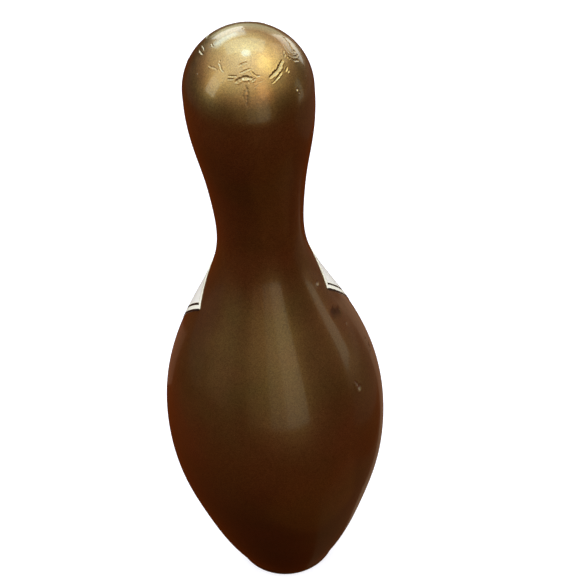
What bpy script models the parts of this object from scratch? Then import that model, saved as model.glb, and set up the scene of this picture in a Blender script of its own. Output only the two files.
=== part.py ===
"""A regulation ten-pin, taken apart into the pieces it is made of.

A billet of hard maple, four core boards with two layers of wings glued to each side, is turned to shape
and moulded into a plastic coat. A nylon ring with a tube is pressed into the counterbored base, and a
printed label is laid round the back of the shoulder. Every joint in it is glued, moulded or pressed, so
nothing moves.

Units are metres and +Z is up. The origin is the centre of the flat that the pin stands on, and the label is
at +Y.
"""

import math

import bmesh
import bpy
import numpy as np

INCH = 0.0254

# Outer form, from the drawing that league pins are made to.
PIN_HEIGHT = 15 * INCH
BASE_DIAMETER = 2.25 * INCH
FLAT_DIAMETER = 2.031 * INCH
EDGE_HEIGHT = 5 / 32 * INCH
HEAD_RADIUS = 1.273 * INCH
# (height, diameter) where the drawing gauges the side, in inches. The last one is the head's widest.
GAUGED_DIAMETERS = (
    (0.75, 2.828),
    (2.25, 3.906),
    (3.375, 4.510),
    (4.5, 4.766),
    (5.875, 4.563),
    (7.25, 3.703),
    (8.625, 2.472),
    (9.375, 1.965),
    (10.0, 1.797),
    (10.875, 1.870),
    (11.75, 2.094),
    (12.625, 2.406),
    (13.5, 2.547),
)

FIT_GAP = 0.0003  # between two pieces that touch
COAT_THICKNESS = 0.002

# Wooden billet
CORE_BOARDS = 4
CORE_BOARD_THICKNESS = 0.016
CORE_WIDTH = CORE_BOARDS * CORE_BOARD_THICKNESS
WING_THICKNESS = 0.0145
BLANK_HALF_WIDTH = 0.065  # a little more than the belly's radius
BLANK_OVERHANG = 0.01  # how far a blank runs past the turned form, top and bottom

# Base ring: a flange that the pin stands on, and a tube pressed up into the wood
TUBE_BORE_DIAMETER = 5 / 8 * INCH
TUBE_DIAMETER = 0.024
TUBE_TOP = 0.024
RECESS_DEPTH = 0.0012
RECESS_RADIUS = 0.019
RECESS_CHAMFER = 0.001
GROOVE_HEIGHTS = (0.010, 0.017)
GROOVE_WIDTH = 0.0016
GROOVE_DEPTH = 0.0007

# Label: a plaque round the back of the shoulder, with an arched top, a level foot that rises towards the
# ends, and a blunt tip at each end. Its angles are in degrees from +Y.
LABEL_TOP = 0.2405
LABEL_FOOT = 0.1765
LABEL_TIP = 0.2108
LABEL_TIP_ANGLE = 101.5
LABEL_TIP_DEPTH = 0.0012
LABEL_TOP_BEND = 2.5  # the power of the angle by which the upper edge falls
LABEL_FOOT_SLOPE = 0.00055  # how fast the lower edge falls from the tip, for each degree
LABEL_FOOT_BEND = 0.0000105  # and how fast it steepens
LABEL_SKEW = 0.0034  # it is laid on askew: its +X tip is this much above its middle line
LABEL_THICKNESS = 0.0002
LABEL_COLUMNS = 34
LABEL_ROWS = 5

# Fineness
SEGMENTS = 48
BODY_RINGS = 26
HEAD_RINGS = 6
EDGE_RINGS = 4
SHARP_ANGLE = math.radians(35)
WELD = 1e-7

BRONZE = (0.055, 0.027, 0.006)
NYLON = (0.42, 0.38, 0.30)
LABEL_WHITE = (0.80, 0.79, 0.74)
MAPLE_SHADES = ((0.62, 0.42, 0.22), (0.56, 0.37, 0.19), (0.66, 0.46, 0.26))


def clear_scene():
    for old in list(bpy.data.objects):
        bpy.data.objects.remove(old, do_unlink=True)


def material(name, colour, roughness, metallic=0.0):
    made = bpy.data.materials.new(name)
    made.use_nodes = True
    shader = made.node_tree.nodes["Principled BSDF"]
    shader.inputs["Base Color"].default_value = (*colour, 1)
    shader.inputs["Roughness"].default_value = roughness
    shader.inputs["Metallic"].default_value = metallic
    return made


def add_object(name, mesh, look=None):
    made = bpy.data.objects.new(name, mesh)
    bpy.context.scene.collection.objects.link(made)
    if look is not None:
        mesh.materials.append(look)
    return made


# ---- outlines, as arrays of (radius, height) ----


def spline_bends(heights, radii):
    """Second derivatives of the cubic spline through the points: unbent at its foot, upright at its top."""
    steps = np.diff(heights)
    slopes = np.diff(radii) / steps
    count = len(heights)
    system = np.zeros((count, count))
    wanted = np.zeros(count)
    system[0, 0] = 1
    for i in range(1, count - 1):
        system[i, i - 1 : i + 2] = steps[i - 1], 2 * (steps[i - 1] + steps[i]), steps[i]
        wanted[i] = 6 * (slopes[i] - slopes[i - 1])
    system[-1, -2:] = steps[-1], 2 * steps[-1]
    wanted[-1] = -6 * slopes[-1]
    return np.linalg.solve(system, wanted)


def side_radius(height):
    """The pin's radius between its base and the widest part of its head."""
    gauged = np.array(GAUGED_DIAMETERS) * INCH
    heights = np.concatenate([[EDGE_HEIGHT], gauged[:, 0]])
    radii = np.concatenate([[BASE_DIAMETER], gauged[:, 1]]) / 2
    bends = spline_bends(heights, radii)
    span = np.clip(np.searchsorted(heights, height) - 1, 0, len(heights) - 2)
    step = heights[span + 1] - heights[span]
    above = (height - heights[span]) / step
    below = 1 - above
    straight = below * radii[span] + above * radii[span + 1]
    curve = (below**3 - below) * bends[span] + (above**3 - above) * bends[span + 1]
    return straight + curve * step**2 / 6


def side_outline():
    """Up the side from inside the base's edge to the top of the head."""
    heights = np.linspace(0, GAUGED_DIAMETERS[-1][0] * INCH, BODY_RINGS)
    body = np.stack([side_radius(heights), heights], axis=1)
    turns = np.linspace(0, math.pi / 2, HEAD_RINGS)
    head = np.stack([HEAD_RADIUS * np.cos(turns), PIN_HEIGHT - HEAD_RADIUS * (1 - np.sin(turns))], axis=1)
    head[-1, 0] = 0
    return np.concatenate([body, head])


def moved_in(outline, distance):
    """The outline moved towards the axis by distance, square to itself."""
    along = np.gradient(outline, axis=0)
    along[-1] = (-1, 0)
    along /= np.linalg.norm(along, axis=1, keepdims=True)
    inward = np.stack([-along[:, 1], along[:, 0]], axis=1)
    return outline + distance * inward


def from_height(outline, foot):
    """The part of the outline above foot, starting with a point at foot."""
    radius = np.interp(foot, outline[:, 1], outline[:, 0])
    return np.concatenate([[(radius, foot)], outline[outline[:, 1] > foot + WELD]])


def coat_outline():
    """From the outer wall's pole down to the foot, and up the inner wall to its pole."""
    foot = EDGE_HEIGHT + FIT_GAP
    outer = from_height(side_outline(), foot)
    inner = from_height(moved_in(side_outline(), COAT_THICKNESS), foot)
    return np.concatenate([outer[::-1], inner])


def billet_outline():
    """From the pole down to the foot, in along it, and up into the counterbore for the ring's tube."""
    foot = EDGE_HEIGHT + FIT_GAP
    side = from_height(moved_in(side_outline(), COAT_THICKNESS + FIT_GAP), foot)
    counterbore = TUBE_DIAMETER / 2 + FIT_GAP
    roof = TUBE_TOP + FIT_GAP
    return np.concatenate([side[::-1], [(counterbore, foot), (counterbore, roof), (0, roof)]])


def groove(middle):
    """A glue groove round the tube, from its lower to its upper edge."""
    outside = TUBE_DIAMETER / 2
    inside = outside - GROOVE_DEPTH
    low = middle - GROOVE_WIDTH / 2
    high = middle + GROOVE_WIDTH / 2
    return [(outside, low), (inside, low), (inside, high), (outside, high)]


def ring_outline():
    """Round the ring's section, from its standing face up the outer edge, over the tube and down the bore."""
    turns = np.linspace(0, math.pi / 2, EDGE_RINGS)
    flat = FLAT_DIAMETER / 2
    edge = [
        (flat + (BASE_DIAMETER / 2 - flat) * math.sin(turn), EDGE_HEIGHT * (1 - math.cos(turn)))
        for turn in turns
    ]
    tube = TUBE_DIAMETER / 2
    bore = TUBE_BORE_DIAMETER / 2
    grooves = [point for middle in GROOVE_HEIGHTS for point in groove(middle)]
    inside = [(tube, TUBE_TOP), (bore, TUBE_TOP), (bore, RECESS_DEPTH)]
    underside = [(RECESS_RADIUS, RECESS_DEPTH), (RECESS_RADIUS + RECESS_CHAMFER, 0)]
    return np.array([*edge, (tube, EDGE_HEIGHT), *grooves, *inside, *underside])


# ---- pieces ----


def smooth_mesh(name, shape):
    """The bmesh as a mesh with its faces out, smooth but for its sharp edges."""
    bmesh.ops.recalc_face_normals(shape, faces=shape.faces)
    mesh = bpy.data.meshes.new(name)
    shape.to_mesh(mesh)
    shape.free()
    mesh.shade_smooth()
    mesh.set_sharp_from_angle(angle=SHARP_ANGLE)
    return mesh


def turned_mesh(name, outline, closed=False):
    """The outline spun round the axis. One that isn't closed starts and ends on the axis."""
    shape = bmesh.new()
    points = [shape.verts.new((radius, 0, height)) for radius, height in outline]
    edges = [shape.edges.new(pair) for pair in zip(points, points[1:])]
    if closed:
        edges.append(shape.edges.new((points[-1], points[0])))
    bmesh.ops.spin(
        shape,
        geom=points + edges,
        axis=(0, 0, 1),
        cent=(0, 0, 0),
        angle=2 * math.pi,
        steps=SEGMENTS,
        use_merge=True,
    )
    bmesh.ops.remove_doubles(shape, verts=shape.verts, dist=WELD)
    return smooth_mesh(name, shape)


def hidden_form(name, outline):
    """A turned form that only cuts other pieces."""
    form = add_object(name, turned_mesh(name, outline))
    form.hide_render = True
    form.display_type = "WIRE"
    return form


def turned_board(name, x_span, y_span, form, look):
    """A board between the two faces of each span, less half a glue line, cut to the turned form."""
    lows = (x_span[0] + FIT_GAP / 2, y_span[0] + FIT_GAP / 2, -BLANK_OVERHANG)
    highs = (x_span[1] - FIT_GAP / 2, y_span[1] - FIT_GAP / 2, PIN_HEIGHT + BLANK_OVERHANG)
    blank = bmesh.new()
    bmesh.ops.create_cube(blank, size=1)
    for corner in blank.verts:
        corner.co = [high if side > 0 else low for side, low, high in zip(corner.co, lows, highs)]
    mesh = bpy.data.meshes.new(name)
    blank.to_mesh(mesh)
    blank.free()
    board = add_object(name, mesh, look)
    turning = board.modifiers.new("turning", "BOOLEAN")
    turning.operation = "INTERSECT"
    turning.solver = "EXACT"
    turning.object = form
    return board


def core_boards(form, looks):
    """Boards side by side across X, as deep as the core in Y."""
    half = CORE_WIDTH / 2
    for i in range(CORE_BOARDS):
        left = i * CORE_BOARD_THICKNESS - half
        x_span = (left, left + CORE_BOARD_THICKNESS)
        turned_board(f"core_board_{i + 1}", x_span, (-half, half), form, looks[i % len(looks)])


def wings(form, looks):
    """Two layers on each side of the core. The front and rear ones run over the side ones."""
    half = CORE_WIDTH / 2
    joint = half + WING_THICKNESS
    layers = (("inner", half, joint), ("outer", joint, BLANK_HALF_WIDTH))
    for i, (layer, near, far) in enumerate(layers):
        for side, span in (("left", (-far, -near)), ("right", (near, far))):
            turned_board(f"{side}_{layer}_wing", span, (-half, half), form, looks[i])
        for side, span in (("front", (-far, -near)), ("rear", (near, far))):
            across = (-BLANK_HALF_WIDTH, BLANK_HALF_WIDTH)
            turned_board(f"{side}_{layer}_wing", across, span, form, looks[i + 1])


def label_edges(angle):
    """Heights of the label's lower and upper edge at an angle."""
    share = abs(angle) / LABEL_TIP_ANGLE
    from_tip = LABEL_TIP_ANGLE - abs(angle)
    lift = LABEL_SKEW * angle / LABEL_TIP_ANGLE
    upper = LABEL_TOP - (LABEL_TOP - LABEL_TIP) * share**LABEL_TOP_BEND
    fall = LABEL_FOOT_SLOPE * from_tip + LABEL_FOOT_BEND * from_tip**2
    lower = max(LABEL_FOOT, LABEL_TIP - fall)
    return lower + lift - LABEL_TIP_DEPTH / 2, upper + lift + LABEL_TIP_DEPTH / 2


def label_point(coat, angle, height, standoff):
    """A point at an angle and a height, this far outside the coat's outline."""
    radius = np.interp(height, coat[:, 1], coat[:, 0]) + standoff
    turn = math.radians(angle)
    return (radius * math.sin(turn), radius * math.cos(turn), height)


def label_mesh(name):
    """A thin sheet bent round the coat, with an inner side, an outer side and a rim."""
    angles = np.linspace(-LABEL_TIP_ANGLE, LABEL_TIP_ANGLE, LABEL_COLUMNS + 1)
    shares = np.linspace(0, 1, LABEL_ROWS + 1)
    coat = side_outline()
    shape = bmesh.new()
    sides = []
    for standoff in (FIT_GAP, FIT_GAP + LABEL_THICKNESS):
        grid = []
        for angle in angles:
            lower, upper = label_edges(angle)
            heights = lower + (upper - lower) * shares
            points = [label_point(coat, angle, height, standoff) for height in heights]
            grid.append([shape.verts.new(point) for point in points])
        sides.append(grid)
    for grid in sides:
        for left, right in zip(grid, grid[1:]):
            for i in range(LABEL_ROWS):
                shape.faces.new((left[i], right[i], right[i + 1], left[i + 1]))
    rims = [rim_of(grid) for grid in sides]
    for i in range(len(rims[0])):
        shape.faces.new((rims[0][i - 1], rims[0][i], rims[1][i], rims[1][i - 1]))
    return smooth_mesh(name, shape)


def rim_of(grid):
    """The grid's outer points, once round."""
    bottom = [column[0] for column in grid]
    top = [column[-1] for column in reversed(grid)]
    return bottom + grid[-1][1:-1] + top + grid[0][-2:0:-1]


def build():
    clear_scene()
    bronze = material("bronze_paint", BRONZE, roughness=0.3, metallic=0.4)
    nylon = material("nylon", NYLON, roughness=0.5)
    printed = material("label_film", LABEL_WHITE, roughness=0.35)
    maples = [material(f"maple_{i + 1}", shade, roughness=0.6) for i, shade in enumerate(MAPLE_SHADES)]

    add_object("plastic_coat", turned_mesh("plastic_coat", coat_outline()), bronze)
    add_object("base_ring", turned_mesh("base_ring", ring_outline(), closed=True), nylon)
    add_object("shoulder_label", label_mesh("shoulder_label"), printed)
    form = hidden_form("turned_billet_form", billet_outline())
    core_boards(form, maples)
    wings(form, maples)


build()
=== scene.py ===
"""The looks of the bowling pin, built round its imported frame.

Units are metres, +Z is up and the label is at +Y. A place on the turned surface is (turn, height): turn is in
degrees from -Y, the plain side that faces the camera, towards +X, and height is from the floor.
"""

import math

import bmesh
import bpy
import numpy as np
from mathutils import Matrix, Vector
from mathutils.kdtree import KDTree


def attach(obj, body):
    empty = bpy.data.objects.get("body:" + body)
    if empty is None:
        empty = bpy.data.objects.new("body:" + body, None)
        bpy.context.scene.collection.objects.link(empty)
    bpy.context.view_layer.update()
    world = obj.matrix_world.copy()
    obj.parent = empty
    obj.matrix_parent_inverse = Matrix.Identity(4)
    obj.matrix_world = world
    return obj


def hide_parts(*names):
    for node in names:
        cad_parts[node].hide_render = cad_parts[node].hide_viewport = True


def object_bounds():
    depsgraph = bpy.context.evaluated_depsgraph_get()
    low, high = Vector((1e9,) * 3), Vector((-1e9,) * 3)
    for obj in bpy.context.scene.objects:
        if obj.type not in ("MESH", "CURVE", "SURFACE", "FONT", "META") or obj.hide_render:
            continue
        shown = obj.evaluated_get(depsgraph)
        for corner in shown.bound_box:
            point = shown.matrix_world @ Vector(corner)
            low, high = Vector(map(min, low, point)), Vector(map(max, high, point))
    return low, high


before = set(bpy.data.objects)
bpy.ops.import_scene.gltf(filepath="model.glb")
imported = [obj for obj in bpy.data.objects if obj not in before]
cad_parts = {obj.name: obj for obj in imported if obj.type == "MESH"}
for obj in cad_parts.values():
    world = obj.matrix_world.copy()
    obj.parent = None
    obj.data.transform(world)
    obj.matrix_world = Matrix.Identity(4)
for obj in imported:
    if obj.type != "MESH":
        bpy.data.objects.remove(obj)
CAD_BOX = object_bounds()

MM = 0.001
INCH = 25.4 * MM

# ---- the turned form, as the CAD has it ----

PIN_HEIGHT = CAD_BOX[1].z
BASE_DIAMETER = 2.25 * INCH
FLAT_DIAMETER = 2.031 * INCH
EDGE_HEIGHT = 5 / 32 * INCH
HEAD_RADIUS = 1.273 * INCH
HEAD_CENTRE = PIN_HEIGHT - HEAD_RADIUS
# (height, diameter) where the drawing of league pins gauges the side, in inches. The last one is the head's
# widest.
GAUGED_DIAMETERS = (
    (0.75, 2.828),
    (2.25, 3.906),
    (3.375, 4.510),
    (4.5, 4.766),
    (5.875, 4.563),
    (7.25, 3.703),
    (8.625, 2.472),
    (9.375, 1.965),
    (10.0, 1.797),
    (10.875, 1.870),
    (11.75, 2.094),
    (12.625, 2.406),
    (13.5, 2.547),
)
SIDE_TOP = GAUGED_DIAMETERS[-1][0] * INCH
COAT_THICKNESS = 2 * MM
SEAM = 0.08 * MM  # the fine line between the coat's foot and the base ring

# ---- fineness of the coat's mesh ----

SEGMENTS = 192
FINE_STEP = 0.1 * MM
HEAD_STEP = 1.0 * MM
BODY_STEP = 2.0 * MM
INNER_STEP = 12 * MM
HEAD_FOOT = 0.343  # the coat's rings lie closer together above this height
SPLIT = 4  # a quad beside a scar is cut into this many each way
SHARP = math.radians(62)
WELD = 1e-6
TINY = 1e-9

# ---- scars ----

# name: ((turn, height in mm), ...), half width, depth and burr in mm.
# A scar is a groove with a steep upper wall and a lip along its lower side. One point makes a round pit.
HEAD_SCARS = {
    "brow_upper": (((2.2, 377.1), (-5.9, 376.8), (-12.5, 376.2)), 0.75, 0.30, 0.16),
    "brow_lower": (((6.0, 375.3), (0.4, 375.1), (-10.0, 374.2)), 0.65, 0.28, 0.16),
    "beak": (
        ((-15.0, 371.1), (-10.1, 372.2), (-5.9, 372.7), (-2.3, 372.9), (3.0, 372.5), (7.0, 372.3)),
        1.1, 0.46, 0.22,
    ),
    "beak_right": (((3.8, 371.3), (7.2, 371.8), (10.4, 372.2)), 0.60, 0.26, 0.22),
    "beak_drip": (((1.8, 372.1), (1.0, 370.9)), 0.55, 0.20, 0.16),
    "crease": (((5.8, 374.6), (9.8, 373.3), (12.4, 372.8), (17.0, 372.7)), 0.55, 0.30, 0.10),
    "slash_upper": (((-25.3, 373.0), (-12.6, 373.3)), 0.55, 0.28, 0.12),
    "slash_lower": (((-24.6, 371.9), (-16.5, 372.3)), 0.50, 0.26, 0.10),
    "crack_left": (((-3.2, 368.8), (-4.7, 367.3), (-5.1, 365.8), (-4.6, 363.8)), 0.75, 0.10, 0.02),
    "crack_right": (
        ((-3.0, 370.3), (-1.2, 368.2), (-0.5, 366.6), (-1.1, 365.0), (-2.4, 361.6)),
        1.05, 0.16, 0.03,
    ),
    "brow_tick": (((6.2, 369.0), (11.3, 370.1)), 0.40, 0.10, 0.06),
    "beak_tick": (((11.8, 370.7), (17.9, 370.9)), 0.40, 0.12, 0.07),
    "slope": (((26.2, 371.0), (33.9, 371.6), (43.2, 372.2), (49.5, 373.0), (56.6, 373.4)), 1.05, 0.50, 0.20),
    "slope_second": (((30.5, 369.3), (36.5, 369.9), (44.6, 370.8)), 0.60, 0.30, 0.22),
    "slope_low": (((26.4, 368.9), (32.8, 369.3)), 0.45, 0.20, 0.14),
    "tick_upper": (((48.8, 370.1), (54.9, 370.8)), 0.65, 0.24, 0.18),
    "tick_lower": (((49.8, 369.1), (53.8, 369.5)), 0.50, 0.22, 0.16),
    "hook_upper": (((67.1, 374.3), (71.1, 374.7)), 0.55, 0.20, 0.18),
    "hook_lower": (((61.7, 373.5), (67.6, 373.9)), 0.55, 0.20, 0.18),
    "left_nick_low": (((-98.1, 372.5), (-81.7, 374.0)), 0.60, 0.24, 0.20),
    "left_nick_high": (((-105.0, 373.3), (-95.5, 374.4), (-88.1, 374.6)), 0.45, 0.18, 0.14),
    "left_tick": (((-94.3, 377.0), (-83.0, 377.3)), 0.45, 0.18, 0.14),
    "ripple": (((-59.3, 373.3), (-53.2, 373.6), (-47.9, 373.9), (-42.3, 373.8)), 0.60, 0.20, 0.14),
    "sickle": (
        ((-47.1, 375.7), (-42.3, 375.4), (-39.4, 374.8), (-36.0, 374.2), (-31.7, 373.8)),
        0.55, 0.24, 0.16,
    ),
    "sickle_dot": (((-46.6, 376.3),), 0.55, 0.28, 0.16),
    "left_dot": (((-66.7, 368.5),), 0.45, 0.18, 0.12),
    "patch_top": (((90.3, 373.1), (100.1, 374.2), (106.1, 374.9)), 0.60, 0.16, 0.04),
    "patch_long": (((79.2, 371.8), (85.2, 371.9), (90.0, 372.8), (98.0, 373.4)), 0.70, 0.20, 0.06),
    "patch_pit": (((84.6, 370.9),), 1.10, 0.30, 0.10),
    "patch_inner": (((74.8, 372.4), (77.6, 373.9), (84.0, 375.1)), 0.55, 0.12, 0.03),
    "patch_edge": (((68.2, 373.4), (68.4, 371.8), (70.7, 369.9), (76.2, 368.2)), 0.75, 0.30, 0.26),
    "patch_low": (((74.4, 371.0), (78.5, 369.6), (84.0, 369.1)), 0.60, 0.24, 0.18),
    "pole_nick": (((-179.5, 380.4),), 0.60, 0.22, 0.10),
    "back_dot": (((136.0, 366.2),), 0.60, 0.24, 0.18),
    "back_slash": (((149.0, 372.4), (156.0, 373.1), (164.0, 373.3)), 0.60, 0.28, 0.16),
    "back_gouge": (((176.0, 371.0), (184.0, 371.9), (193.0, 371.5)), 0.85, 0.38, 0.18),
    "back_gouge_low": (((180.0, 369.7), (188.0, 370.3)), 0.50, 0.20, 0.14),
    "back_tick": (((201.0, 374.8), (208.0, 374.3)), 0.50, 0.22, 0.14),
    "back_nick": (((217.0, 369.6),), 0.70, 0.26, 0.18),
    "back_scrape": (((229.0, 372.6), (241.0, 373.6)), 0.55, 0.24, 0.14),
    "right_dot": (((70.6, 361.5),), 0.60, 0.24, 0.20),
    "right_tick": (((50.4, 361.0),), 0.85, 0.40, 0.30),
    "right_tick_end": (((51.3, 359.0),), 0.75, 0.34, 0.28),
    "right_rim": (((76.0, 363.0), (77.5, 364.8)), 0.50, 0.14, 0.12),
    "left_rim": (((-107.1, 361.1), (-109.9, 362.6)), 0.50, 0.14, 0.12),
}
BODY_SCARS = {
    "shoulder_nick": (((67.4, 223.6),), 1.4, 0.45, 0.20),
    "shoulder_dent": (((63.0, 206.4), (76.0, 199.4)), 4.0, 0.40, 0.05),
    "shoulder_dot": (((73.9, 192.7),), 1.3, 0.28, 0.18),
    "belly_mark": (((54.4, 167.4), (55.6, 163.0)), 1.2, 0.30, 0.20),
    "belly_dot": (((56.2, 161.6),), 1.9, 0.45, 0.28),
    "edge_scuff": (((87.7, 167.3), (85.1, 164.3)), 0.9, 0.20, 0.14),
    "edge_pit_high": (((85.7, 171.2),), 1.1, 0.36, 0.20),
    "edge_pit": (((85.0, 166.7),), 1.1, 0.34, 0.20),
    "edge_pit_low": (((83.5, 163.8),), 1.0, 0.32, 0.20),
}
SCAR_STEP = 0.5 * MM
SCAR_REACH = 2.0  # how many half widths from its line a scar changes the surface
PIT_BOTTOM = 0.3  # where a groove is deepest, as a share of its half width above its line
END_WIDTH = 0.4  # how wide a groove is at its ends, as a share of its full width
LIP_PLACE = 1.2  # how far from its line its lips are highest, in half widths
LIP_WIDTH = 0.3
UPPER_LIP = 0.35  # how high its upper lip is, as a share of the lower one
ROUGHNESS_OF_SCARS = 0.26
SWAY_RATES = (2.7, 1.1)  # how fast a scar's width sways along it, in radians for each half width
HOLLOW_SHADE = 0.35  # painted shade: how much a scar's hollow is darkened, and in those that get more
SHADED_SCARS = {"crack_left": 0.5, "crack_right": 0.75, "shoulder_dent": 0.95}
# How far the paint is chipped off in a scar, so that pale plastic shows.
CHIPPED_SCARS = {
    "shoulder_nick": 0.6,
    "shoulder_dot": 0.2,
    "belly_mark": 0.3,
    "belly_dot": 0.5,
    "edge_pit_high": 0.3,
    "edge_pit": 0.3,
    "edge_pit_low": 0.25,
    "right_tick": 0.8,
    "right_tick_end": 0.5,
    "right_dot": 0.4,
    "left_dot": 0.4,
}


# ---- the turned form ----


def spline_bends(heights, radii):
    """Second derivatives of the cubic spline through the points: unbent at its foot, upright at its top."""
    steps = np.diff(heights)
    slopes = np.diff(radii) / steps
    count = len(heights)
    system = np.zeros((count, count))
    wanted = np.zeros(count)
    system[0, 0] = 1
    for i in range(1, count - 1):
        system[i, i - 1 : i + 2] = steps[i - 1], 2 * (steps[i - 1] + steps[i]), steps[i]
        wanted[i] = 6 * (slopes[i] - slopes[i - 1])
    system[-1, -2:] = steps[-1], 2 * steps[-1]
    wanted[-1] = -6 * slopes[-1]
    return np.linalg.solve(system, wanted)


def side_radius(height):
    """The pin's radius between its base and the widest part of its head."""
    gauged = np.array(GAUGED_DIAMETERS) * INCH
    heights = np.concatenate([[EDGE_HEIGHT], gauged[:, 0]])
    radii = np.concatenate([[BASE_DIAMETER], gauged[:, 1]]) / 2
    bends = spline_bends(heights, radii)
    span = np.clip(np.searchsorted(heights, height) - 1, 0, len(heights) - 2)
    step = heights[span + 1] - heights[span]
    above = (height - heights[span]) / step
    below = 1 - above
    straight = below * radii[span] + above * radii[span + 1]
    curve = (below**3 - below) * bends[span] + (above**3 - above) * bends[span + 1]
    return straight + curve * step**2 / 6


def outer_outline(foot):
    """(radius, height) points, closely spaced, from the pole down to the foot."""
    tilts = np.arange(0, math.pi / 2, FINE_STEP / HEAD_RADIUS)
    head = np.stack([HEAD_RADIUS * np.sin(tilts), HEAD_CENTRE + HEAD_RADIUS * np.cos(tilts)], axis=1)
    heights = np.append(np.arange(SIDE_TOP, foot, -FINE_STEP), foot)
    return np.concatenate([head, np.stack([side_radius(heights), heights], axis=1)])


def moved_in(outline, distance):
    """An outline that runs down from the pole, moved towards the axis, square to itself."""
    along = np.gradient(outline, axis=0)
    along /= np.linalg.norm(along, axis=1, keepdims=True)
    inward = np.stack([along[:, 1], -along[:, 0]], axis=1)
    moved = outline + distance * inward
    moved[0] = (0, outline[0, 1] - distance)
    return moved


def lengths_along(points):
    """The distance of each point from the first, along the line through them."""
    return np.concatenate([[0], np.cumsum(np.linalg.norm(np.diff(points, axis=0), axis=1))])


def stations(outline, spans):
    """Distances along the outline: (end distance, step) for each span, and its own end."""
    start = 0.0
    found = []
    for end, step in spans:
        count = max(1, round((end - start) / step))
        found.extend(np.linspace(start, end, count, endpoint=False))
        start = end
    return np.array([*found, start])


def at_stations(outline, distances):
    lengths = lengths_along(outline)
    return np.stack([np.interp(distances, lengths, outline[:, i]) for i in range(2)], axis=1)


def on_axis_turn(turn):
    """Unit vector away from the axis at a turn in degrees."""
    angle = np.radians(turn)
    return np.stack([np.sin(angle), -np.cos(angle), np.zeros_like(angle)], axis=-1)


def surface_point(turn, height):
    """The point of the turned form at a turn and a height."""
    if height > HEAD_CENTRE:
        radius = math.sqrt(max(0.0, HEAD_RADIUS**2 - (height - HEAD_CENTRE) ** 2))
    else:
        radius = float(side_radius(np.array([min(height, SIDE_TOP)]))[0])
    return on_axis_turn(turn) * radius + np.array([0, 0, height])


# ---- scars ----


def scar_path(places):
    """The scar's line on the surface, in short steps."""
    if len(places) == 1:
        return np.array([surface_point(places[0][0], places[0][1] * MM)])
    corners = [surface_point(turn, height * MM) for turn, height in places]
    lengths = lengths_along(np.array(corners))
    count = max(2, math.ceil(lengths[-1] / SCAR_STEP))
    distances = np.linspace(0, lengths[-1], count + 1)
    turns = np.interp(distances, lengths, [place[0] for place in places])
    heights = np.interp(distances, lengths, [place[1] * MM for place in places])
    return np.array([surface_point(turn, height) for turn, height in zip(turns, heights)])


def nearest_on(path, points):
    """For each point: its offset from the nearest place on the path, and that place's share of its length."""
    if len(path) == 1:
        return points - path[0], np.full(len(points), 0.5)
    starts, runs = path[:-1], np.diff(path, axis=0)
    lengths = lengths_along(path)
    squares = (runs**2).sum(axis=1)
    share = np.clip(np.einsum("psi,si->ps", points[:, None] - starts, runs) / squares, 0, 1)
    offsets = points[:, None] - (starts + share[..., None] * runs)
    best = (offsets**2).sum(axis=2).argmin(axis=1)
    rows = np.arange(len(points))
    along = lengths[best] + share[rows, best] * np.diff(lengths)[best]
    return offsets[rows, best], along / lengths[-1]


def scar_shape(scar, points, seed):
    """How far the scar moves each point outwards, and how far into its hollow the point lies."""
    places, half_width, depth, burr = scar
    path = scar_path(places)
    offsets, share = nearest_on(path, points)
    distance = np.linalg.norm(offsets, axis=1)
    upward = np.sign(offsets[:, 2] + TINY)
    full = np.sqrt(np.clip(1 - (2 * share - 1) ** 4, 0, 1)) if len(places) > 1 else np.ones(len(points))
    along = share * lengths_along(path)[-1] / (half_width * MM)
    fast, slow = SWAY_RATES
    sway = 1 + ROUGHNESS_OF_SCARS * np.sin(fast * along + seed) * np.sin(slow * along + 2 * seed)
    across = upward * distance / (half_width * MM * (END_WIDTH + (1 - END_WIDTH) * full) * sway)
    if len(places) == 1:
        across = np.abs(across)
        wall = np.clip(1 - across, 0, 1)
    else:
        upper = (1 - across) / (1 - PIT_BOTTOM)
        lower = (1 + across) / (1 + PIT_BOTTOM)
        wall = np.clip(np.minimum(upper, lower), 0, 1)
    hollow = wall**2 * (3 - 2 * wall)
    lip = np.exp(-(((np.abs(across) - LIP_PLACE) / LIP_WIDTH) ** 2)) * np.where(across < 0, 1.0, UPPER_LIP)
    return MM * full * (burr * lip * sway - depth * hollow * sway), full * hollow


def scar_tree(scars):
    """Finds the scar line nearest to a place, and how far that scar reaches."""
    marks = [(point, scar[1] * MM * SCAR_REACH) for scar in scars.values() for point in scar_path(scar[0])]
    tree = KDTree(len(marks))
    for i, (point, _) in enumerate(marks):
        tree.insert(point, i)
    tree.balance()
    return tree, [reach for _, reach in marks]


# ---- the coat ----


def coat_section():
    """(radius, height) of the coat's rings, from the outer pole down to the foot and up the inside."""
    foot = EDGE_HEIGHT + SEAM
    outer = outer_outline(foot)
    inner = moved_in(outer, COAT_THICKNESS)
    inner = inner[inner[:, 1] > foot]
    inner = np.concatenate([inner, [(inner[-1, 0], foot)]])
    lengths = lengths_along(outer)
    head_end = float(np.interp(-HEAD_FOOT, -outer[:, 1], lengths))
    outside = at_stations(outer, stations(outer, ((head_end, HEAD_STEP), (lengths[-1], BODY_STEP))))
    inside = at_stations(inner, stations(inner, ((lengths_along(inner)[-1], INNER_STEP),)))
    return outside, inside[::-1]


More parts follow.
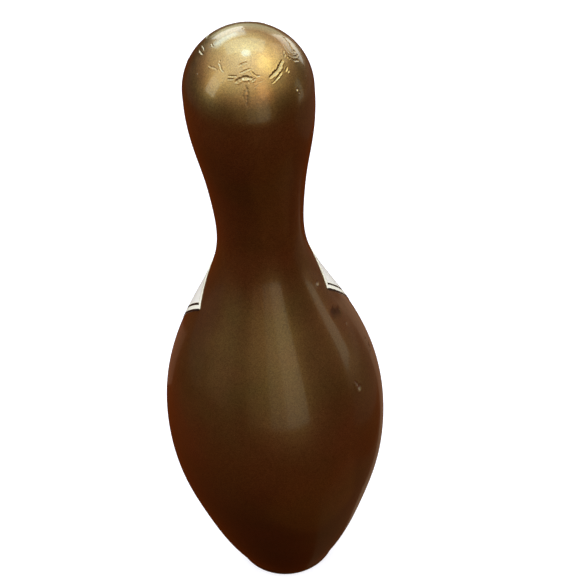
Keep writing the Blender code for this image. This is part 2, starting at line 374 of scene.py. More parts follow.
class Patchwork:
    """A turned grid in which some quads are cut finer. Its corners are keyed by fine row and fine column."""

    def __init__(self, rings):
        self.rings = rings
        self.corners = {}
        self.faces = []

    def corner(self, row, column):
        """The number of the vertex there. The first and the last ring are single points."""
        on_pole = row in (0, SPLIT * (len(self.rings) - 1))
        key = (row, 0 if on_pole else column % (SPLIT * SEGMENTS))
        return self.corners.setdefault(key, len(self.corners))

    def face(self, keys):
        loop = []
        for key in keys:
            corner = self.corner(*key)
            if corner not in loop:
                loop.append(corner)
        self.faces.append(loop)

    def edge(self, start, end, fine):
        """The keys from start to just before end, with those between if a neighbour is cut finer."""
        if not fine:
            return [start]
        return [
            tuple(a + (b - a) * i // SPLIT for a, b in zip(start, end))
            for i in range(SPLIT)
        ]

    def build(self, fine):
        """fine[i, j] says whether the quad under ring i at segment j is cut."""
        for i in range(len(self.rings) - 1):
            for j in range(SEGMENTS):
                if fine[i, j]:
                    self.cut_quad(i, j)
                else:
                    self.whole_quad(i, j, fine)

    def cut_quad(self, i, j):
        for a in range(SPLIT):
            for b in range(SPLIT):
                row, column = SPLIT * i + a, SPLIT * j + b
                self.face([(row, column), (row + 1, column), (row + 1, column + 1), (row, column + 1)])

    def whole_quad(self, i, j, fine):
        top, low, left, right = SPLIT * i, SPLIT * (i + 1), SPLIT * j, SPLIT * (j + 1)
        last = len(fine) - 1
        loop = self.edge((top, left), (low, left), fine[i, j - 1])
        loop += self.edge((low, left), (low, right), i < last and fine[i + 1, j])
        loop += self.edge((low, right), (top, right), fine[i, (j + 1) % SEGMENTS])
        loop += self.edge((top, right), (top, left), i > 0 and fine[i - 1, j])
        self.face(loop)

    def points(self):
        """Each corner's place, read from the rings."""
        keys = np.array(list(self.corners))
        row = keys[:, 0] / SPLIT
        steps = np.arange(len(self.rings))
        radius = np.interp(row, steps, self.rings[:, 0])
        height = np.interp(row, steps, self.rings[:, 1])
        turn = keys[:, 1] * 360 / (SPLIT * SEGMENTS)
        return on_axis_turn(turn) * radius[:, None] + np.stack([0 * height, 0 * height, height], axis=1)


def settled(points, outer_rows):
    """Points between rings lie on chords: this puts those of the outer side back on the turned form."""
    radius = np.hypot(points[:, 0], points[:, 1])
    on_head = outer_rows & (points[:, 2] > HEAD_CENTRE)
    from_centre = points[on_head] - (0, 0, HEAD_CENTRE)
    points[on_head] = from_centre / np.linalg.norm(from_centre, axis=1, keepdims=True) * HEAD_RADIUS
    points[on_head, 2] += HEAD_CENTRE
    on_side = outer_rows & (points[:, 2] <= SIDE_TOP)
    points[on_side, :2] *= (side_radius(points[on_side, 2]) / radius[on_side])[:, None]
    return points


def outward(points):
    """Unit vectors away from the turned form."""
    step = 1e-5
    heights = np.minimum(points[:, 2], SIDE_TOP - step)
    slope = (side_radius(heights + step) - side_radius(heights - step)) / (2 * step)
    radial = points[:, :2] / np.maximum(np.hypot(points[:, 0], points[:, 1]), TINY)[:, None]
    side = np.column_stack([radial, -slope])
    head = points - (0, 0, HEAD_CENTRE)
    normals = np.where((points[:, 2] > HEAD_CENTRE)[:, None], head, side)
    return normals / np.linalg.norm(normals, axis=1, keepdims=True)


def fine_quads(rings, outer_count, scars):
    """Which quads lie near a scar."""
    tree, reaches = scar_tree(scars)
    fine = np.zeros((len(rings) - 1, SEGMENTS), bool)
    for i in range(outer_count - 1):
        middle = (rings[i] + rings[i + 1]) / 2
        size = math.hypot(*(rings[i] - rings[i + 1]), 2 * math.pi * middle[0] / SEGMENTS) / 2
        for j in range(SEGMENTS):
            place = on_axis_turn((j + 0.5) * 360 / SEGMENTS) * middle[0] + np.array([0, 0, middle[1]])
            _, mark, distance = tree.find(place)
            fine[i, j] = distance < reaches[mark] + size
    return fine


def scarred(points, scars):
    """The points with every scar pressed in, and the painted shade in each hollow and the bare plastic at
    each.
    """
    moved, hollow_shade, chips = np.zeros((3, len(points)))
    for seed, (name, scar) in enumerate(scars.items()):
        path = scar_path(scar[0])
        middle = path.mean(axis=0)
        span = np.linalg.norm(path - middle, axis=1).max() + SCAR_REACH * scar[1] * MM
        near = np.linalg.norm(points - middle, axis=1) < span
        depth, hollow = scar_shape(scar, points[near], seed)
        moved[near] = np.where(np.abs(depth) > np.abs(moved[near]), depth, moved[near])
        # painted shade: the paint is darkened in the scar's hollow
        hollow_shade[near] = np.maximum(hollow_shade[near], SHADED_SCARS.get(name, HOLLOW_SHADE) * hollow)
        chips[near] = np.maximum(chips[near], CHIPPED_SCARS.get(name, 0) * hollow)
    return points + outward(points) * moved[:, None], hollow_shade, chips


def coat_mesh(name):
    outside, inside = coat_section()
    rings = np.concatenate([outside, inside])
    scars = {**HEAD_SCARS, **BODY_SCARS}
    grid = Patchwork(rings)
    grid.build(fine_quads(rings, len(outside), scars))
    points = grid.points()
    rows = np.array(list(grid.corners))[:, 0]
    outer = rows <= SPLIT * (len(outside) - 1)
    points = settled(points, outer)
    hollow_shade, chips = np.zeros((2, len(points)))
    points[outer], hollow_shade[outer], chips[outer] = scarred(points[outer], scars)
    mesh = bpy.data.meshes.new(name)
    mesh.from_pydata(points.tolist(), [], grid.faces)
    # the painted shade in the scars' hollows, and the chipped paint, held at each point
    mesh.attributes.new("hollow_shade", "FLOAT", "POINT").data.foreach_set("value", hollow_shade)
    mesh.attributes.new("chips", "FLOAT", "POINT").data.foreach_set("value", chips)
    mesh.validate()
    mesh.shade_smooth()
    mesh.set_sharp_from_angle(angle=SHARP)
    return mesh


def add_piece(name, mesh, materials, slot, *replaced):
    """A new piece that rides on the pin and stands for CAD nodes."""
    piece = bpy.data.objects.new(name, mesh)
    bpy.context.scene.collection.objects.link(piece)
    for material in materials:
        mesh.materials.append(material)
    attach(piece, "root")
    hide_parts(*replaced)
    return piece


# ---- materials ----


class Nodes:
    """A material's node tree with a Principled shader, and short ways to add to it."""

    def __init__(self, name):
        self.material = bpy.data.materials.new(name)
        self.material.use_nodes = True
        self.tree = self.material.node_tree
        self.shader = self.tree.nodes["Principled BSDF"]
        self.place = self.add("ShaderNodeTexCoord").outputs["Object"]

    def add(self, kind, **settings):
        node = self.tree.nodes.new(kind)
        for key, value in settings.items():
            setattr(node, key, value)
        return node

    def join(self, source, target):
        self.tree.links.new(source, target)

    def set(self, **values):
        """Constants on the shader's own sockets, with underscores for the spaces in their names."""
        for key, value in values.items():
            self.shader.inputs[key.replace("_", " ")].default_value = value

    def stretched(self, scale):
        """Object coordinates with a scale for each axis."""
        node = self.add("ShaderNodeMapping")
        node.inputs["Scale"].default_value = scale
        self.join(self.place, node.inputs["Vector"])
        return node.outputs["Vector"]

    def noise(self, scale, detail=2.0, roughness=0.5, where=None):
        node = self.add("ShaderNodeTexNoise")
        node.inputs["Scale"].default_value = scale
        node.inputs["Detail"].default_value = detail
        node.inputs["Roughness"].default_value = roughness
        self.join(where or self.place, node.inputs["Vector"])
        return node.outputs["Fac"]

    def cells(self, scale):
        """A random value for each small cell."""
        node = self.add("ShaderNodeTexVoronoi")
        node.inputs["Scale"].default_value = scale
        self.join(self.place, node.inputs["Vector"])
        grey = self.add("ShaderNodeSeparateColor")
        self.join(node.outputs["Color"], grey.inputs[0])
        return grey.outputs[0]

    def ranged(self, value, low, high, to_low=0.0, to_high=1.0):
        """value between low and high, moved to between to_low and to_high, and held there."""
        node = self.add("ShaderNodeMapRange")
        node.inputs["From Min"].default_value = low
        node.inputs["From Max"].default_value = high
        node.inputs["To Min"].default_value = to_low
        node.inputs["To Max"].default_value = to_high
        self.join(value, node.inputs["Value"])
        return node.outputs["Result"]

    def times(self, first, second):
        node = self.add("ShaderNodeMath", operation="MULTIPLY")
        self.join(first, node.inputs[0])
        if isinstance(second, float):
            node.inputs[1].default_value = second
        else:
            self.join(second, node.inputs[1])
        return node.outputs[0]

    def plus(self, first, second):
        node = self.add("ShaderNodeMath", operation="ADD")
        self.join(first, node.inputs[0])
        self.join(second, node.inputs[1])
        return node.outputs[0]

    def blend(self, share, first, second):
        """A mix of two colours, each a socket or a plain colour."""
        node = self.add("ShaderNodeMix", data_type="RGBA")
        self.join(share, node.inputs[0])
        for socket, colour in ((node.inputs[6], first), (node.inputs[7], second)):
            if isinstance(colour, tuple):
                socket.default_value = (*colour, 1)
            else:
                self.join(colour, socket)
        return node.outputs[2]

    def shaded(self, colour, value):
        """A colour times a value."""
        node = self.add("ShaderNodeVectorMath", operation="SCALE")
        self.join(colour, node.inputs[0])
        self.join(value, node.inputs["Scale"])
        return node.outputs[0]

    def painted(self, attribute):
        """A value that the mesh holds at each of its points."""
        return self.add("ShaderNodeAttribute", attribute_name=attribute).outputs["Fac"]

    def height(self):
        node = self.add("ShaderNodeSeparateXYZ")
        self.join(self.place, node.inputs[0])
        return node.outputs["Z"]

    def bump(self, value, distance, normal=None):
        node = self.add("ShaderNodeBump")
        node.inputs["Distance"].default_value = distance
        self.join(value, node.inputs["Height"])
        if normal is not None:
            self.join(normal, node.inputs["Normal"])
        return node.outputs["Normal"]

    def use(self, **sources):
        for key, source in sources.items():
            self.join(source, self.shader.inputs[key.replace("_", " ")])
        return self.material


def bronze_paint():
    """Dark bronze flake paint under clear gloss, mottled, and scuffed on the head, with painted shade in its
    scars' hollows.
    """
    n = Nodes("bronze_paint")
    n.set(Metallic=0.94, Coat_Weight=1.0, Coat_Roughness=0.11, Coat_IOR=1.5)
    mottle = n.ranged(n.noise(28, 3), 0.35, 0.65)
    tone = n.blend(mottle, (0.236, 0.150, 0.050), (0.276, 0.142, 0.056))
    sparkle = n.ranged(n.cells(3400), 0.0, 1.0, 0.72, 1.3)
    grain = n.ranged(n.noise(1100, 2), 0.3, 0.7, 0.88, 1.12)
    # painted shade: the paint is darkened in the scars' hollows
    shade_factor = n.ranged(n.painted("hollow_shade"), 0.0, 1.0, 1.0, 0.35)
    painted = n.shaded(tone, n.times(n.times(sparkle, grain), shade_factor))
    colour = n.blend(n.painted("chips"), painted, (0.92, 0.88, 0.80))
    scuff = n.ranged(n.noise(160, 5, 0.7), 0.55, 0.8)
    on_head = n.ranged(n.height(), 0.345, 0.372)
    wear = n.times(scuff, on_head)
    roughness = n.plus(n.ranged(n.noise(70, 4), 0.3, 0.7, 0.33, 0.38), n.times(wear, 0.15))
    flakes = n.bump(n.cells(2600), 0.006 * MM)
    peel = n.bump(n.noise(190, 1), 0.035 * MM)
    rubbed = n.bump(n.noise(900, 3, 0.6, n.stretched((1, 1, 0.3))), 0.004 * MM, peel)
    return n.use(Base_Color=colour, Roughness=roughness, Normal=flakes, Coat_Normal=rubbed)


def nylon():
    """Off-white moulded nylon, dulled and scuffed where it stands."""
    n = Nodes("nylon")
    n.set(Subsurface_Weight=0.06, Subsurface_Scale=0.001, IOR=1.53)
    tone = n.blend(n.ranged(n.noise(45, 4), 0.35, 0.65), (0.44, 0.40, 0.31), (0.37, 0.32, 0.23))
    dirt = n.ranged(n.noise(220, 6, 0.75), 0.52, 0.72)
    at_foot = n.ranged(n.height(), 0.0004, 0.002, 1.0, 0.15)
    soiled = n.blend(n.times(dirt, at_foot), tone, (0.11, 0.085, 0.06))
    roughness = n.ranged(n.noise(140, 4), 0.3, 0.7, 0.42, 0.62)
    scratches = n.bump(n.noise(500, 5, 0.7, n.stretched((3, 0.4, 1))), 0.02 * MM)
    return n.use(Base_Color=soiled, Roughness=roughness, Normal=scratches)


def printed(name, colour, worn):
    """A printed colour of the label's film, under clear gloss."""
    n = Nodes(name)
    n.set(Coat_Weight=0.3, Coat_Roughness=0.08, Specular_IOR_Level=0.3)
    tone = n.blend(n.ranged(n.noise(60, 4, 0.6), 0.42, 0.72), colour, worn)
    speck = n.ranged(n.noise(1300, 2), 0.3, 0.7, 0.96, 1.03)
    roughness = n.ranged(n.noise(120, 3), 0.3, 0.7, 0.34, 0.46)
    ripple = n.bump(n.noise(260, 2), 0.008 * MM)
    return n.use(Base_Color=n.shaded(tone, speck), Roughness=roughness, Normal=ripple)


def maple(name, light, dark, seed):
    """Hard maple with its grain up the pin."""
    n = Nodes(name)
    shifted = n.add("ShaderNodeMapping")
    shifted.inputs["Location"].default_value = (seed * 0.013, seed * 0.029, seed * 0.07)
    shifted.inputs["Scale"].default_value = (1, 0.35, 0.06)
    n.join(n.place, shifted.inputs["Vector"])
    where = shifted.outputs["Vector"]
    rings = n.add("ShaderNodeTexWave", wave_type="BANDS", bands_direction="X")
    rings.inputs["Scale"].default_value = 55
    rings.inputs["Distortion"].default_value = 5.5
    rings.inputs["Detail"].default_value = 3
    rings.inputs["Detail Scale"].default_value = 1.6
    n.join(where, rings.inputs["Vector"])
    figure = n.blend(n.ranged(rings.outputs["Fac"], 0.2, 1.0), light, dark)
    fibre = n.ranged(n.noise(1500, 3, 0.6, where), 0.3, 0.7, 0.86, 1.08)
    pores = n.bump(n.noise(2200, 2, 0.5, where), 0.05 * MM)
    roughness = n.ranged(n.noise(90, 3), 0.3, 0.7, 0.48, 0.62)
    return n.use(Base_Color=n.shaded(figure, fibre), Roughness=roughness, Normal=pores)


# ---- base ring ----

RING_SEGMENTS = 160
TUBE_BORE_DIAMETER = 5 / 8 * INCH
TUBE_RADIUS = 12 * MM
TUBE_TOP = 24 * MM
RECESS_DEPTH = 1.2 * MM
RECESS_RADIUS = 19 * MM
GROOVE_HEIGHTS = (10 * MM, 17 * MM)
GROOVE_WIDTH = 1.6 * MM
GROOVE_DEPTH = 0.7 * MM
RECESS_CHAMFER = 1 * MM
EDGE_BREAK = 0.25 * MM  # how far a moulded edge is rounded
BREAK_POINTS = 3
FLANGE_TURNS = 12


def rounded(corners):
    """A closed outline with each corner rounded by EDGE_BREAK."""
    made = []
    for i, corner in enumerate(corners):
        before = np.subtract(corners[i - 1], corner)
        after = np.subtract(corners[(i + 1) % len(corners)], corner)
        reach = min(EDGE_BREAK, np.linalg.norm(before) / 3, np.linalg.norm(after) / 3)
        start = corner + before / np.linalg.norm(before) * reach
        end = corner + after / np.linalg.norm(after) * reach
        for share in np.linspace(0, 1, BREAK_POINTS):
            bend = 2 * share * (1 - share) * np.array(corner)
            made.append((1 - share) ** 2 * start + bend + share**2 * end)
    return made


def ring_outline():
    """Round the ring's section, from its standing face up the outer edge, over the tube and down its bore.

    Also says how many of its points lie on the outer edge.
    """
    flat = FLAT_DIAMETER / 2
    turns = np.linspace(0, math.pi / 2, FLANGE_TURNS)
    edge = [
        (flat + (BASE_DIAMETER / 2 - flat) * math.sin(turn), EDGE_HEIGHT * (1 - math.cos(turn)))
        for turn in turns
    ]
    bore = TUBE_BORE_DIAMETER / 2
    corners = [(TUBE_RADIUS, EDGE_HEIGHT)]
    for middle in GROOVE_HEIGHTS:
        low, high = middle - GROOVE_WIDTH / 2, middle + GROOVE_WIDTH / 2
        floor = TUBE_RADIUS - GROOVE_DEPTH
        corners += [(TUBE_RADIUS, low), (floor, low), (floor, high), (TUBE_RADIUS, high)]
    corners += [(TUBE_RADIUS, TUBE_TOP), (bore, TUBE_TOP), (bore, RECESS_DEPTH)]
    corners += [(RECESS_RADIUS, RECESS_DEPTH), (RECESS_RADIUS + RECESS_CHAMFER, 0)]
    closed = rounded([edge[-1], *corners, edge[0]])
    return np.array([*edge, *closed[BREAK_POINTS:-BREAK_POINTS]]), len(edge)


def ring_mesh(name):
    """The ring, with its painted outer edge as material 1."""
    outline, painted = ring_outline()
    turns = np.arange(RING_SEGMENTS) * 360 / RING_SEGMENTS
    points = [on_axis_turn(turn) * radius + (0, 0, height) for turn in turns for radius, height in outline]
    count = len(outline)
    faces = []
    looks = []
    for i in range(RING_SEGMENTS):
        here, there = i * count, (i + 1) % RING_SEGMENTS * count
        for j in range(count):
            k = (j + 1) % count
            faces.append((here + j, there + j, there + k, here + k))
            looks.append(1 if j < painted else 0)
    mesh = bpy.data.meshes.new(name)
    mesh.from_pydata([tuple(point) for point in points], [], faces)
    mesh.polygons.foreach_set("material_index", looks)
    mesh.shade_smooth()
    mesh.set_sharp_from_angle(angle=SHARP)
    return mesh


# ---- label ----

LABEL_TOP = 240.5 * MM
LABEL_FOOT = 176.5 * MM
LABEL_TIP = 210.8 * MM
LABEL_TIP_ANGLE = 101.5
LABEL_TIP_DEPTH = 1.2 * MM
LABEL_TOP_BEND = 2.65  # the power of the angle by which the upper edge falls
LABEL_FOOT_SLOPE = 0.585 * MM  # how fast the lower edge falls from the tip, for each degree
LABEL_FOOT_BEND = 0.0105 * MM  # and how fast it steepens
LABEL_LEAN = 0.064  # how much stronger the bend and the slope are at the +X end, as a share
LABEL_SKEW = 3.4 * MM  # it is laid on askew: its +X tip is this much above its middle line
LABEL_STANDOFF = 0.25 * MM  # how far its printed side stands off the coat
LABEL_COLUMNS = 120
LABEL_ROWS = 22
LABEL_MEAN_RADIUS = 40 * MM
LABEL_FINE = 4001  # angles at which its outline is worked out
# The printed bands from the edge inwards: colour and width along the lower edge, then along the upper edge.
LABEL_BANDS = (
    ("black", 1.25 * MM, "white", 0.6 * MM),
    ("white", 1.95 * MM, "white", 1.25 * MM),
    ("black", 1.15 * MM, "white", 0.6 * MM),
    ("white", 0.5 * MM, "grey", 0.45 * MM),
)


def label_curves(angle):
    """Heights of the label's foot, its falling ends and its upper edge, at angles in degrees from +Y."""
    share = np.abs(angle) / LABEL_TIP_ANGLE
    from_tip = LABEL_TIP_ANGLE - np.abs(angle)
    lift = LABEL_SKEW * angle / LABEL_TIP_ANGLE
    lean = 1 + LABEL_LEAN * angle / LABEL_TIP_ANGLE
    foot = LABEL_FOOT + lift - LABEL_TIP_DEPTH / 2
    fall = LABEL_FOOT_SLOPE * lean * from_tip + LABEL_FOOT_BEND * from_tip**2
    ends = LABEL_TIP - fall + lift - LABEL_TIP_DEPTH / 2
    dip = (LABEL_TOP - LABEL_TIP) * share ** (LABEL_TOP_BEND * lean)
    upper = LABEL_TOP - dip + lift + LABEL_TIP_DEPTH / 2
    return foot, ends, upper


def inset_edges(lower_inset, upper_inset):
    """Angles, lower and upper heights of the label's outline moved in by a width at each edge."""
    angles = np.linspace(-LABEL_TIP_ANGLE, LABEL_TIP_ANGLE, LABEL_FINE)
    across = np.radians(angles) * LABEL_MEAN_RADIUS
    insets = (lower_inset, lower_inset, -upper_inset)
    foot, ends, upper = (
        curve + inset * np.hypot(1, np.gradient(curve, across))
        for curve, inset in zip(label_curves(angles), insets)
    )
    lower = np.maximum(foot, ends)
    inside = np.where(upper > lower)[0]
    span = angles[inside[0]], angles[inside[-1]]
    spaced = np.linspace(*span, LABEL_COLUMNS + 1)
    return spaced, np.interp(spaced, angles, lower), np.interp(spaced, angles, upper)


def label_point(angle, height, standoff):
    """A point just off the coat at an angle from +Y and a height."""
    radius = float(side_radius(np.array([height]))[0]) + standoff
    turn = math.radians(angle)
    return (radius * math.sin(turn), radius * math.cos(turn), height)


def strip(shape, first, second, look):
    """Faces between two lines of vertices, of one printed colour."""
    for a, b, c, d in zip(first, first[1:], second[1:], second):
        face = shape.faces.new((a, b, c, d))
        face.material_index = look


def label_line(shape, angles, heights, standoff=LABEL_STANDOFF):
    return [shape.verts.new(label_point(angle, height, standoff)) for angle, height in zip(angles, heights)]


def label_mesh(name, looks):
    """A film that follows the coat: nested outlines for its bands, and rows across the panel inside them."""
    shape = bmesh.new()
    lower_inset = upper_inset = 0.0
    angles, lower, upper = inset_edges(0, 0)
    low, high = label_line(shape, angles, lower), label_line(shape, angles, upper)
    strip(shape, label_line(shape, angles, lower, 0), low, looks["white"])
    strip(shape, high, label_line(shape, angles, upper, 0), looks["white"])
    for lower_colour, lower_width, upper_colour, upper_width in LABEL_BANDS:
        lower_inset += lower_width
        upper_inset += upper_width
        angles, lower, upper = inset_edges(lower_inset, upper_inset)
        next_low, next_high = label_line(shape, angles, lower), label_line(shape, angles, upper)
        strip(shape, low, next_low, looks[lower_colour])
        strip(shape, next_high, high, looks[upper_colour])
        low, high = next_low, next_high
    rows = [low]
    for share in np.arange(1, LABEL_ROWS) / LABEL_ROWS:
        rows.append(label_line(shape, angles, lower + (upper - lower) * share))
    rows.append(high)
    for first, second in zip(rows, rows[1:]):
        strip(shape, first, second, looks["panel"])
    bmesh.ops.remove_doubles(shape, verts=shape.verts, dist=WELD)
    bmesh.ops.dissolve_degenerate(shape, edges=shape.edges, dist=WELD)
    bmesh.ops.recalc_face_normals(shape, faces=shape.faces)
    mesh = bpy.data.meshes.new(name)
    shape.to_mesh(mesh)
    shape.free()
    mesh.shade_smooth()
    mesh.set_sharp_from_angle(angle=SHARP)
    return mesh


# ---- stage ----

# The camera looks down at the plain side from this far off the pin's middle, and is turned a little.
CAMERA_TARGET = 0.190
CAMERA_DISTANCE = 1.1269
CAMERA_ELEVATION = 45.37
CAMERA_TURNS = (45.254, 3.037, -3.940)
CAMERA_LENS = 129.89

LAMP_DISTANCE = 1.6
LAMP_AIM = 0.30
ROUND_LAMPS = ("overhead", "warm_lamp")
# Lamps that show only as reflections. name: azimuth from +Y towards +X, elevation, half width and half height
# in degrees as the pin sees them, and radiance
LAMPS = {
    "overhead": (3, 78.2, 6.5, 6.5, (2.6, 5.7, 7.8)),
    "warm_lamp": (98, 62, 12.0, 12.0, (2.05, 2.1, 0.6)),
    "ceiling_back": (0, 60, 25, 14, (1.1, 1.75, 1.7)),
    "ceiling_right": (90, 56, 25, 14, (1.05, 1.07, 0.6)),
    "window_high": (-21, 31, 12, 5, (1.3, 2.3, 2.8)),
    "window_halo": (-19, 30, 18, 10, (1.25, 2.0, 2.3)),
    "window_low": (-12, 14, 12, 7, (2.4, 2.9, 2.95)),
    "back_wall": (10, 2, 30, 8, (0.69, 0.78, 0.53)),
    "back_wall_high": (16, 15, 13, 6, (0.62, 0.75, 0.48)),
    "window_right": (38, 5, 13, 14, (1.65, 1.84, 1.82)),
    "back_right_high": (58, 34, 14, 9, (0.85, 0.85, 0.7)),
    "left_wall": (-107, 24, 10, 13, (1.97, 2.14, 1.77)),
    "left_wall_high": (-108, 46, 12, 9, (1.04, 1.22, 0.97)),
    "left_low": (-108, 6, 12, 10, (0.11, 0.137, 0.098)),
    "left_column": (-116, -7, 16, 12, (0.043, 0.052, 0.029)),
    "left_side": (-68, -8, 26, 16, (0.022, 0.03, 0.03)),
    "warm_wall": (151, 34, 9, 14, (1.7, 1, 0.46)),
    "door_near": (159, 2, 11, 24, (0.175, 0.212, 0.182)),
    "door_middle": (167, 2, 19, 24, (0.09, 0.145, 0.132)),
    "door_far": (178, 2, 30, 24, (0.125, 0.1, 0.054)),
    "slit": (87, -8, 6.5, 13, (0.34, 0.4, 0.32)),
    "right_wall": (66, -14, 30, 14, (0.08, 0.056, 0.042)),
    "right_boards": (104, 7, 14, 11, (0.1, 0.035, 0.013)),
    "right_floor": (62, -34, 30, 11, (0.012, 0.026, 0.022)),
    "right_foot": (68, -67, 26, 12, (0.014, 0.016, 0.009)),
    "floor_patch": (138, -66, 24, 14, (0.043, 0.017, 0.002)),
}
# Small panels close behind the belly, facing the plain side, that light its outline. They too show only as
# reflections. name: centre, half width, half height, radiance
RIM_PANELS = {
    "rim_right": ((0.089, 0.060, 0.025), 0.031, 0.135, (0.112, 0.087, 0.058)),
    "rim_left": ((-0.090, 0.060, 0.113), 0.028, 0.030, (0.080, 0.052, 0.034)),
}
# Lamps that light only what isn't glossy: the label and the floor.
FILLS = {
    "fill_left": (-105, 22, 30, 30, (1.3, 1.3, 1.45)),
    "fill_right": (105, 22, 30, 30, (1.3, 1.3, 1.45)),
    "fill_back": (0, 25, 30, 30, (0.5, 0.45, 0.45)),
}
# The room's own glow by elevation: dark red-brown wood below, a warm white ceiling above.
ROOM_GLOW = (
    (-90, (0.030, 0.005, 0.0005)),
    (-40, (0.120, 0.019, 0.001)),
    (-15, (0.094, 0.016, 0.001)),
    (0, (0.018, 0.023, 0.011)),
    (20, (0.460, 0.310, 0.222)),
    (35, (1.210, 1.220, 0.790)),
    (50, (1.740, 1.760, 1.350)),
    (90, (2.500, 2.990, 2.770)),
)
FLOOR_RADIUS = 3.0
COVE_RADIUS = 1.5
BACKDROP_HEIGHT = 4.0
BACKDROP_SEGMENTS = 96
COVE_STEPS = 13


def from_azimuth(azimuth, elevation):
    """Unit vector towards an azimuth from +Y towards +X and an elevation, in degrees."""
    a, e = math.radians(azimuth), math.radians(elevation)
    return Vector((math.sin(a) * math.cos(e), math.cos(a) * math.cos(e), math.sin(e)))


def add_camera():
    camera = bpy.data.objects.new("camera", bpy.data.cameras.new("camera"))
    bpy.context.scene.collection.objects.link(camera)
    target = Vector((0, 0, CAMERA_TARGET))
    camera.location = target + from_azimuth(180, CAMERA_ELEVATION) * CAMERA_DISTANCE
    camera.rotation_euler = [math.radians(turn) for turn in CAMERA_TURNS]
    camera.data.lens = CAMERA_LENS
    camera.data.clip_start = 0.05
    camera.data.clip_end = 50
    bpy.context.scene.camera = camera


def add_lamp(name, centre, away, half_width, half_height, radiance):
    """A soft area light that shines back along away."""
    round_lamp = name in ROUND_LAMPS
    light = bpy.data.lights.new(name, "AREA")
    light.shape = "ELLIPSE" if round_lamp else "RECTANGLE"
    light.size = 2 * half_width
    light.size_y = 2 * half_height
    area = light.size * light.size_y * (math.pi / 4 if round_lamp else 1)
    light.energy = max(radiance) * math.pi * area
    light.color = [channel / max(radiance) for channel in radiance]
    lamp = bpy.data.objects.new(name, light)
    bpy.context.scene.collection.objects.link(lamp)
    lamp.location = centre
    lamp.rotation_euler = away.to_track_quat("Z", "Y").to_euler()
    lamp.visible_camera = False
    lamp.visible_glossy = name not in FILLS
    lamp.visible_diffuse = name in FILLS


def add_lamps():
    """The lamps round the pin, each as large as the pin sees it, and the panels close to it."""
    for name, (azimuth, elevation, half_width, half_height, radiance) in {**LAMPS, **FILLS}.items():
        away = from_azimuth(azimuth, elevation)
        centre = Vector((0, 0, LAMP_AIM)) + away * LAMP_DISTANCE
        half_sizes = [LAMP_DISTANCE * math.tan(math.radians(angle)) for angle in (half_width, half_height)]
        add_lamp(name, centre, away, *half_sizes, radiance)
    for name, (centre, half_width, half_height, radiance) in RIM_PANELS.items():
        add_lamp(name, centre, from_azimuth(0, 0), half_width, half_height, radiance)


def add_world():
    """The room's glow, by how high the pin looks."""
    world = bpy.data.worlds.new("room")
    world.use_nodes = True
    bpy.context.scene.world = world
    nodes, links = world.node_tree.nodes, world.node_tree.links
    where = nodes.new("ShaderNodeTexCoord")
    split = nodes.new("ShaderNodeSeparateXYZ")
    height = nodes.new("ShaderNodeMapRange")
    height.inputs["From Min"].default_value = -1
    ramp = nodes.new("ShaderNodeValToRGB")
    links.new(where.outputs["Generated"], split.inputs[0])
    links.new(split.outputs["Z"], height.inputs["Value"])
    links.new(height.outputs["Result"], ramp.inputs["Fac"])
    links.new(ramp.outputs["Color"], nodes["Background"].inputs["Color"])
    stops = ramp.color_ramp.elements
    stops.remove(stops[-1])
    for i, (elevation, colour) in enumerate(ROOM_GLOW):
        position = (1 + math.sin(math.radians(elevation))) / 2
        stop = stops[0] if i == 0 else stops.new(position)
        stop.position = position
        stop.color = (*colour, 1)


def backdrop_material():
    """Plain pale studio paper."""
    n = Nodes("backdrop")
    n.set(Roughness=0.9, Specular_IOR_Level=0.0, Emission_Strength=0.65, Emission_Color=(1, 1, 1, 1))
    fleck = n.ranged(n.noise(6, 3), 0.3, 0.7, 0.79, 0.80)
    return n.use(Base_Color=n.blend(fleck, (0.0, 0.0, 0.0), (0.55, 0.56, 0.74)))


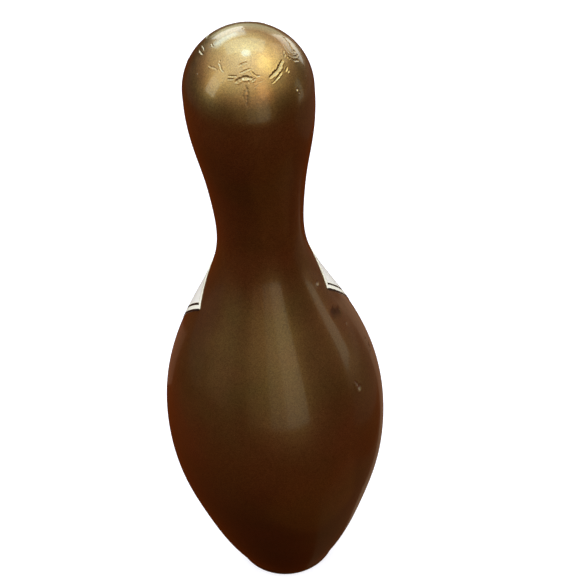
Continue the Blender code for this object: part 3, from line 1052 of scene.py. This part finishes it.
def add_backdrop():
    """A floor that sweeps up into a wall all round."""
    bends = np.linspace(-math.pi / 2, 0, COVE_STEPS)
    cove = [(FLOOR_RADIUS + COVE_RADIUS * math.cos(b), COVE_RADIUS * (1 + math.sin(b))) for b in bends]
    outline = [(0, 0), *cove, (FLOOR_RADIUS + COVE_RADIUS, BACKDROP_HEIGHT)]
    shape = bmesh.new()
    points = [shape.verts.new((radius, 0, height)) for radius, height in outline]
    edges = [shape.edges.new(pair) for pair in zip(points, points[1:])]
    bmesh.ops.spin(
        shape, geom=points + edges, axis=(0, 0, 1), cent=(0, 0, 0), angle=2 * math.pi,
        steps=BACKDROP_SEGMENTS, use_merge=True,
    )
    bmesh.ops.remove_doubles(shape, verts=shape.verts, dist=WELD)
    bmesh.ops.recalc_face_normals(shape, faces=shape.faces)
    mesh = bpy.data.meshes.new("backdrop")
    shape.to_mesh(mesh)
    shape.free()
    mesh.shade_smooth()
    mesh.materials.append(backdrop_material())
    backdrop = bpy.data.objects.new("backdrop", mesh)
    bpy.context.scene.collection.objects.link(backdrop)
    backdrop.visible_glossy = False
    backdrop.visible_diffuse = False


# ---- the whole ----

MAPLE_TONES = (
    ((0.60, 0.41, 0.22), (0.47, 0.29, 0.13)),
    ((0.55, 0.37, 0.19), (0.42, 0.25, 0.11)),
    ((0.64, 0.45, 0.25), (0.51, 0.33, 0.16)),
)
LABEL_COLOURS = {
    "white": ((0.88, 0.88, 0.86), (0.82, 0.81, 0.77)),
    "black": ((0.005, 0.004, 0.003), (0.012, 0.010, 0.008)),
    "grey": ((0.42, 0.42, 0.42), (0.36, 0.35, 0.34)),
    "panel": ((0.86, 0.86, 0.91), (0.80, 0.80, 0.84)),
}


def paint_boards():
    """Every wooden piece keeps its CAD solid and gets grain of its own."""
    boards = [name for name in sorted(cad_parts) if "board" in name or "wing" in name]
    for i, name in enumerate(boards):
        light, dark = MAPLE_TONES[i % len(MAPLE_TONES)]
        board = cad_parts[name]
        board.data.materials.clear()
        board.data.materials.append(maple(f"maple_{name}", light, dark, i))


def build():
    bpy.context.scene.view_settings.view_transform = "Standard"
    paint = bronze_paint()
    add_piece("painted_coat", coat_mesh("painted_coat"), [paint], "bronze_paint", "plastic_coat")
    add_piece("moulded_base_ring", ring_mesh("moulded_base_ring"), [nylon(), paint], "nylon", "base_ring")
    looks = {colour: i for i, colour in enumerate(LABEL_COLOURS)}
    films = [printed(f"label_{colour}", *tones) for colour, tones in LABEL_COLOURS.items()]
    add_piece("printed_label", label_mesh("printed_label", looks), films, "label_film", "shoulder_label")
    paint_boards()
    add_backdrop()
    add_lamps()
    add_world()
    add_camera()


build()
